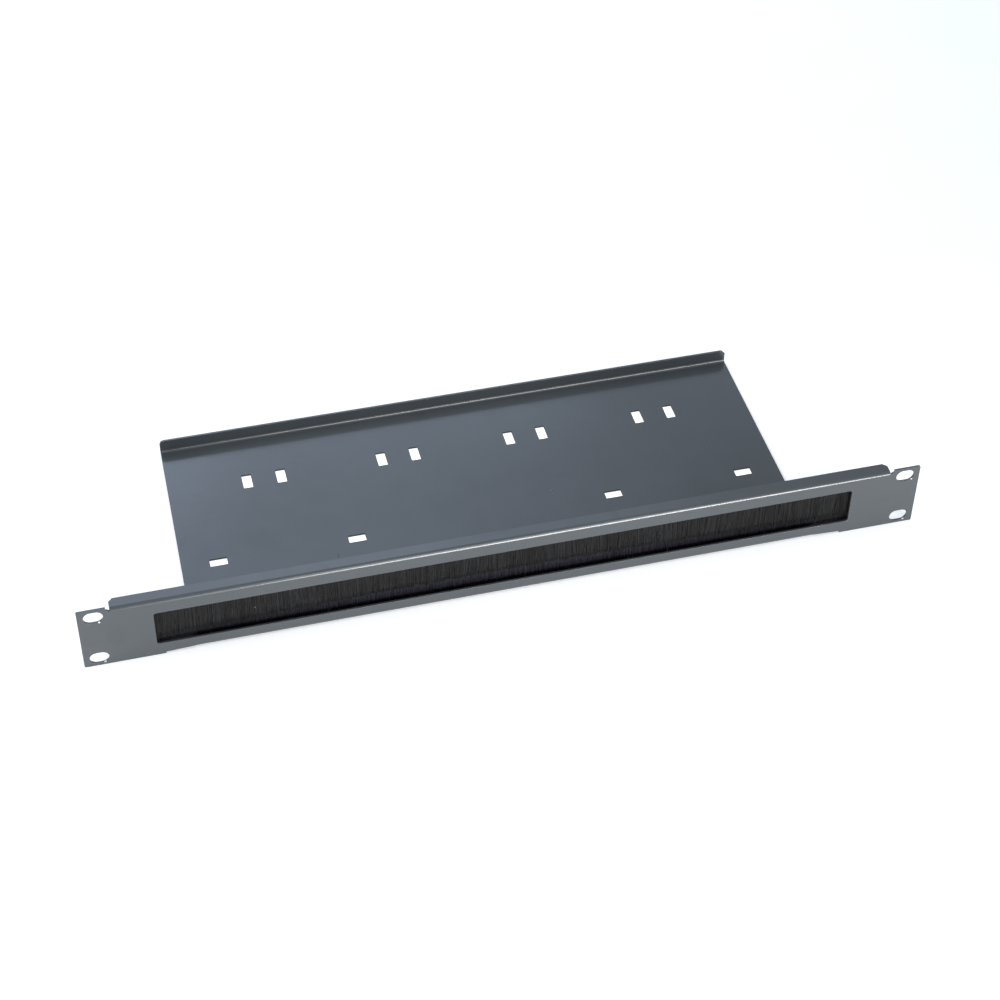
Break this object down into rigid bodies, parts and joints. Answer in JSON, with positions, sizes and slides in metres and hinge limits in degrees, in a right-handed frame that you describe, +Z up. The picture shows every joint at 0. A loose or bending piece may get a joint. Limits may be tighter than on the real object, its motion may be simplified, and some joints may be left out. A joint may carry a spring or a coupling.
{
  "type": "brush cable-entry panel with cable tray",
  "caption": "Folded steel rack panel with a long opening filled by a black strip brush, slotted ears, and a shallow cable tray with tie holes behind it.",
  "frame": {"origin": "middle of the base of the bounding box", "axes": "+X across the rack to the right seen from the front, +Y from the front panel to the rear lip, +Z up"},
  "size_m": [0.4826, 0.1606, 0.0432],
  "materials": {
    "painted_sheet": "satin dark blue-grey paint",
    "channel_steel": "zinc-plated",
    "wire_steel": "plain drawn wire",
    "bristles": "black nylon filaments",
    "tape": "black foam"
  },
  "bodies": {
    "root": {"panel_tray": "painted_sheet", "brush_channel": "channel_steel", "brush_core_wire": "wire_steel", "brush_bristles": "bristles", "mounting_tape": "tape"}
  },
  "joints": []
}
